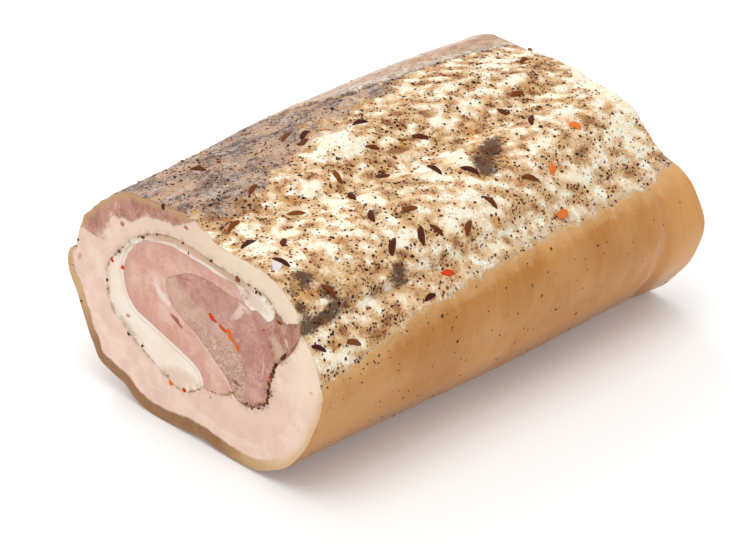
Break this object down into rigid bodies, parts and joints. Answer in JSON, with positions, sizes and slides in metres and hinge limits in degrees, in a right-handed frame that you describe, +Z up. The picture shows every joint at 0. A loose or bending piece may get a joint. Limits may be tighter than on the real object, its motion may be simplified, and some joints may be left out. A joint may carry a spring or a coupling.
{
  "type": "rolled pork roast",
  "caption": "Cooked roll of skin-on pork belly wrapped round a folded lean piece, cut flat at both ends, with spices pressed into its top.",
  "frame": {"origin": "middle of the whole roll's box, on the surface that it rests on", "axes": "+X along the roll, from the near cut to the far one; +Z up; the skin's front flank faces -Y"},
  "size_m": [0.1556, 0.109, 0.0747],
  "materials": {
    "rind_and_fat": "glossy brown rind over cream fat",
    "stained_lean": "moist, grey-brown, spice-stained",
    "pale_lean": "moist cut meat",
    "white_fat": "smooth cut fat",
    "pink_lean": "moist cut meat",
    "coarse_lean": "grainy cut meat",
    "fine_lean": "moist cut meat"
  },
  "bodies": {
    "root": {"belly_slab": "rind_and_fat", "cap_lean": "stained_lean", "flap_lean": "pale_lean", "inner_fat": "white_fat", "folded_lean": "pink_lean", "core_coarse_lean": "coarse_lean", "core_fine_lean": "fine_lean"}
  },
  "joints": []
}
